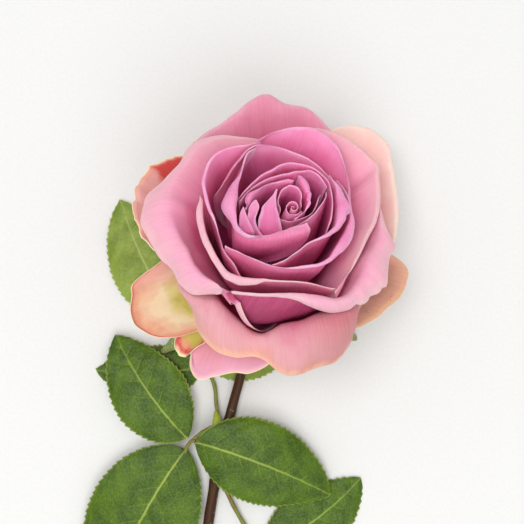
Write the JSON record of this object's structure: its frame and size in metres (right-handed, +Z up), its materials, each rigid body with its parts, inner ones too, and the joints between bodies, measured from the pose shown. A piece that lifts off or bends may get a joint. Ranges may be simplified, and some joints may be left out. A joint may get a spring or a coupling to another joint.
{
  "type": "rose",
  "caption": "Cut garden rose lying on its side: open mauve-pink bloom of nested petals with peach guard petals, bent neck, prickly stem and toothed leaves.",
  "frame": {"origin": "The middle of the rose's box on the surface it lies on: the point under the box's centre, at the lowest point of stem, leaves and sepals.", "axes": "+Y runs along the rose from the cut end of the stem to the bloom, its longest side. +Z is up from the surface, its shortest side. +X is to the right when looking down on it with the bloom away from the viewer."},
  "size_m": [0.1156, 0.25, 0.0845],
  "materials": {
    "guard_back_finish": "pale peach outer petal, satin, red-edged in places",
    "guard_front_finish": "pale peach outer petal, satin, red-edged in places",
    "guard_left_lower_finish": "pale peach outer petal, satin, red-edged in places",
    "guard_left_upper_finish": "pale peach outer petal, satin, red-edged in places",
    "guard_right_lower_finish": "pale peach outer petal, satin, red-edged in places",
    "guard_right_upper_finish": "pale peach outer petal, satin, red-edged in places",
    "guard_stunted_finish": "pale peach outer petal, satin, red-edged in places",
    "heart_frill_finish": "mauve-pink petal, velvety satin, paler rim",
    "heart_ring_finish": "mauve-pink petal, velvety satin, paler rim",
    "heart_scroll_finish": "mauve-pink petal, velvety satin, paler rim",
    "heart_wedge_inner_finish": "mauve-pink petal, velvety satin, paler rim",
    "heart_wedge_middle_finish": "mauve-pink petal, velvety satin, paler rim",
    "heart_wedge_outer_finish": "mauve-pink petal, velvety satin, paler rim",
    "hip_finish": "matt green, fine down",
    "inner_back_1_finish": "mauve-pink petal, velvety satin, paler rim",
    "inner_back_2_finish": "mauve-pink petal, velvety satin, paler rim",
    "inner_front_1_finish": "mauve-pink petal, velvety satin, paler rim",
    "inner_front_2_finish": "mauve-pink petal, velvety satin, paler rim",
    "inner_ring_finish": "mauve-pink petal, velvety satin, paler rim",
    "leaflet_1_end_finish": "glossy green leaf with pale veins and a toothed edge",
    "leaflet_1_left_finish": "glossy green leaf with pale veins and a toothed edge",
    "leaflet_1_right_finish": "glossy green leaf with pale veins and a toothed edge",
    "leaflet_2_end_finish": "glossy green leaf with pale veins and a toothed edge",
    "leaflet_2_left_finish": "glossy green leaf with pale veins and a toothed edge",
    "leaflet_2_right_finish": "glossy green leaf with pale veins and a toothed edge",
    "leaflet_3_end_finish": "glossy green leaf with pale veins and a toothed edge",
    "leaflet_3_left_finish": "glossy green leaf with pale veins and a toothed edge",
    "leaflet_3_right_finish": "glossy green leaf with pale veins and a toothed edge",
    "lower_front_finish": "pale pink petal turning salmon at its rim, satin",
    "middle_front_1_finish": "mauve-pink petal, velvety satin, paler rim",
    "middle_left_1_finish": "mauve-pink petal, velvety satin, paler rim",
    "middle_left_2_finish": "mauve-pink petal, velvety satin, paler rim",
    "middle_right_1_finish": "mauve-pink petal, velvety satin, paler rim",
    "middle_right_2_finish": "mauve-pink petal, velvety satin, paler rim",
    "middle_top_finish": "mauve-pink petal, velvety satin, paler rim",
    "outer_front_1_finish": "pale pink petal turning salmon at its rim, satin",
    "outer_front_2_finish": "pale pink petal turning salmon at its rim, satin",
    "outer_left_finish": "pale pink petal turning salmon at its rim, satin",
    "outer_right_finish": "pale pink petal turning salmon at its rim, satin",
    "outer_top_finish": "pale pink petal turning salmon at its rim, satin",
    "petiole_1_finish": "olive to reddish stalk, satin",
    "petiole_2_finish": "olive to reddish stalk, satin",
    "petiole_3_finish": "olive to reddish stalk, satin",
    "prickle_1_finish": "reddish prickle, satin",
    "prickle_2_finish": "reddish prickle, satin",
    "prickle_3_finish": "reddish prickle, satin",
    "prickle_4_finish": "reddish prickle, satin",
    "rachis_1_finish": "olive to reddish stalk, satin",
    "rachis_2_finish": "olive to reddish stalk, satin",
    "rachis_3_finish": "olive to reddish stalk, satin",
    "sepal_1_finish": "matt green, fine down",
    "sepal_2_finish": "matt green, fine down",
    "sepal_3_finish": "matt green, fine down",
    "sepal_4_finish": "matt green, fine down",
    "sepal_5_finish": "matt green, fine down",
    "stem_finish": "reddish-brown bark over green, satin"
  },
  "bodies": {
    "root": {"guard_back": "guard_back_finish", "guard_front": "guard_front_finish", "guard_left_lower": "guard_left_lower_finish", "guard_left_upper": "guard_left_upper_finish", "guard_right_lower": "guard_right_lower_finish", "guard_right_upper": "guard_right_upper_finish", "guard_stunted": "guard_stunted_finish", "heart_frill": "heart_frill_finish", "heart_ring": "heart_ring_finish", "heart_scroll": "heart_scroll_finish", "heart_wedge_inner": "heart_wedge_inner_finish", "heart_wedge_middle": "heart_wedge_middle_finish", "heart_wedge_outer": "heart_wedge_outer_finish", "hip": "hip_finish", "inner_back_1": "inner_back_1_finish", "inner_back_2": "inner_back_2_finish", "inner_front_1": "inner_front_1_finish", "inner_front_2": "inner_front_2_finish", "inner_ring": "inner_ring_finish", "leaflet_1_end": "leaflet_1_end_finish", "leaflet_1_left": "leaflet_1_left_finish", "leaflet_1_right": "leaflet_1_right_finish", "leaflet_2_end": "leaflet_2_end_finish", "leaflet_2_left": "leaflet_2_left_finish", "leaflet_2_right": "leaflet_2_right_finish", "leaflet_3_end": "leaflet_3_end_finish", "leaflet_3_left": "leaflet_3_left_finish", "leaflet_3_right": "leaflet_3_right_finish", "lower_front": "lower_front_finish", "middle_front_1": "middle_front_1_finish", "middle_left_1": "middle_left_1_finish", "middle_left_2": "middle_left_2_finish", "middle_right_1": "middle_right_1_finish", "middle_right_2": "middle_right_2_finish", "middle_top": "middle_top_finish", "outer_front_1": "outer_front_1_finish", "outer_front_2": "outer_front_2_finish", "outer_left": "outer_left_finish", "outer_right": "outer_right_finish", "outer_top": "outer_top_finish", "petiole_1": "petiole_1_finish", "petiole_2": "petiole_2_finish", "petiole_3": "petiole_3_finish", "prickle_1": "prickle_1_finish", "prickle_2": "prickle_2_finish", "prickle_3": "prickle_3_finish", "prickle_4": "prickle_4_finish", "rachis_1": "rachis_1_finish", "rachis_2": "rachis_2_finish", "rachis_3": "rachis_3_finish", "sepal_1": "sepal_1_finish", "sepal_2": "sepal_2_finish", "sepal_3": "sepal_3_finish", "sepal_4": "sepal_4_finish", "sepal_5": "sepal_5_finish", "stem": "stem_finish"}
  },
  "joints": []
}
